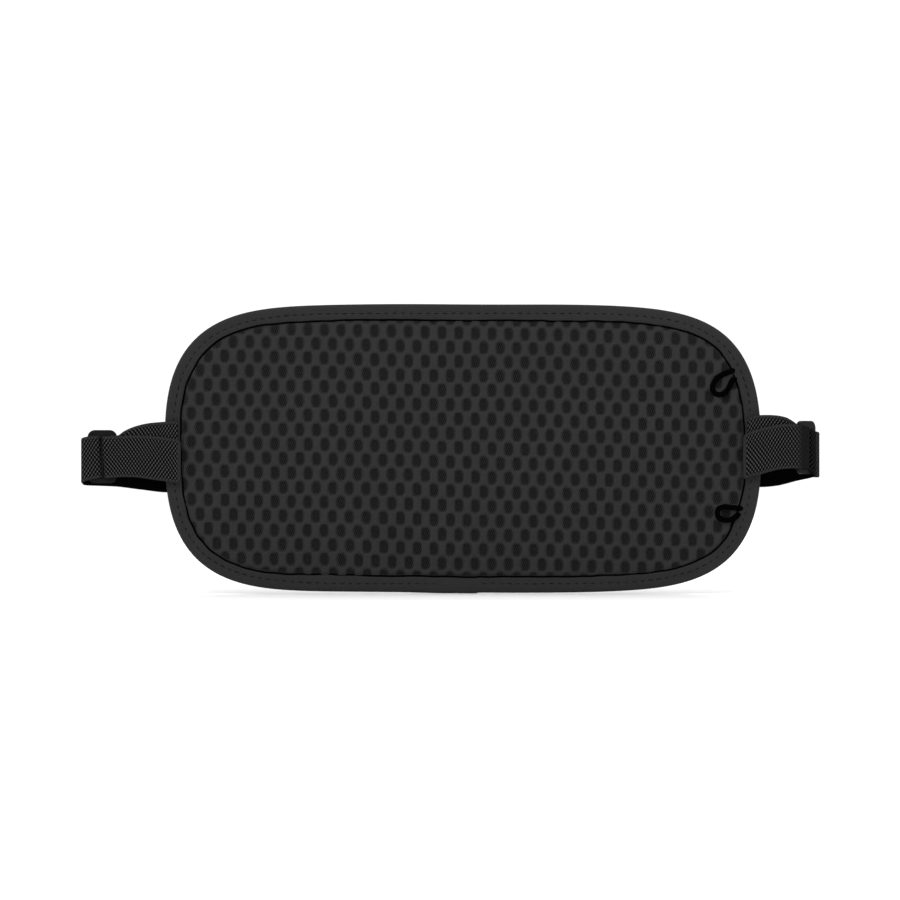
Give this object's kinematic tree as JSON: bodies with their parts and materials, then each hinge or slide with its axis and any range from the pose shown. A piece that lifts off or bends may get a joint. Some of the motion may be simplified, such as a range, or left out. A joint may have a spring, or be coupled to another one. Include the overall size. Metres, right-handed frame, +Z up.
{
  "type": "money belt",
  "caption": "Flat zipped waist pouch with an air-mesh back, bound edge and elastic strap that runs through slide adjusters to a side-release buckle.",
  "frame": {"origin": "middle of the mesh face that rests on the wearer", "axes": "+X along the pouch's length to the right as the mesh side is seen, +Z up, -Y out of the mesh face towards the wearer, +Y out of the zip side"},
  "size_m": [0.3354, 0.0191, 0.13],
  "materials": {
    "air_mesh": "knitted spacer mesh, matt",
    "lining": "coated lining cloth, slight sheen",
    "face_fabric": "plain-weave nylon, matt",
    "binding_tape": "fine ribbed binding tape",
    "zip_tape": "woven zip tape",
    "zip_coil": "nylon coil, satin",
    "zip_metal": "black enamel, semi-gloss",
    "webbing": "elastic webbing with smooth selvedges",
    "moulded_plastic": "moulded acetal, fine satin",
    "elastic_cord": "braided elastic cord"
  },
  "bodies": {
    "pouch": {"back_mesh_panel": "air_mesh", "back_lining": "lining", "pocket_divider": "lining", "front_panel_top": "face_fabric", "front_panel_middle": "face_fabric", "front_panel_lower": "face_fabric", "edge_binding": "binding_tape", "main_zip_tape_upper": "zip_tape", "main_zip_tape_lower": "zip_tape", "main_zip_coil_upper": "zip_coil", "main_zip_coil_lower": "zip_coil", "main_zip_stops": "zip_coil", "front_zip_tape_upper": "zip_tape", "front_zip_tape_lower": "zip_tape", "front_zip_coil_upper": "zip_coil", "front_zip_coil_lower": "zip_coil", "front_zip_stops": "zip_coil", "left_anchor_tab": "webbing", "right_anchor_tab": "webbing", "left_adjuster": "moulded_plastic", "right_adjuster": "moulded_plastic", "left_strap": "webbing", "right_strap": "webbing", "right_strap_lead": "webbing", "buckle_receptacle": "moulded_plastic", "upper_cord_loop": "elastic_cord", "lower_cord_loop": "elastic_cord"},
    "main_slider": {"main_zip_slider": "zip_metal"},
    "main_pull": {"main_zip_pull": "zip_metal"},
    "front_slider": {"front_zip_slider": "zip_metal"},
    "front_pull": {"front_zip_pull": "zip_metal"},
    "insert": {"buckle_insert": "moulded_plastic"},
    "upper_prong": {"buckle_upper_prong": "moulded_plastic"},
    "lower_prong": {"buckle_lower_prong": "moulded_plastic"}
  },
  "joints": [
    {"name": "main_zip_slide", "type": "slide", "parent": "pouch", "child": "main_slider", "axis": [-1, 0, 0], "range_m": [0, 0.205]},
    {"name": "main_pull_turn", "type": "hinge", "parent": "main_slider", "child": "main_pull", "pos_m": [0.1035, 0.009, 0.04], "axis": [0, 0, -1], "range_deg": [0, 175]},
    {"name": "front_zip_slide", "type": "slide", "parent": "pouch", "child": "front_slider", "axis": [-1, 0, 0], "range_m": [0, 0.205]},
    {"name": "front_pull_turn", "type": "hinge", "parent": "front_slider", "child": "front_pull", "pos_m": [0.1035, 0.009, 0.017], "axis": [0, 0, -1], "range_deg": [0, 175]},
    {"name": "buckle_release", "type": "slide", "parent": "pouch", "child": "insert", "axis": [1, 0, 0], "range_m": [0, 0.026], "deforming": ["right_strap_lead", "buckle_upper_prong", "buckle_lower_prong"]},
    {"name": "upper_prong_squeeze", "type": "hinge", "parent": "insert", "child": "upper_prong", "pos_m": [0.005, 0.0122, 0.0041], "axis": [0, -1, 0], "range_deg": [0, 14], "stiffness_Nm_per_rad": 0.02},
    {"name": "lower_prong_squeeze", "type": "hinge", "parent": "insert", "child": "lower_prong", "pos_m": [0.005, 0.0122, -0.0125], "axis": [0, -1, 0], "range_deg": [-14, 0], "stiffness_Nm_per_rad": 0.02}
  ],
  "couplings": [
    {"joint": "lower_prong_squeeze", "follows": "upper_prong_squeeze", "ratio": -1}
  ]
}
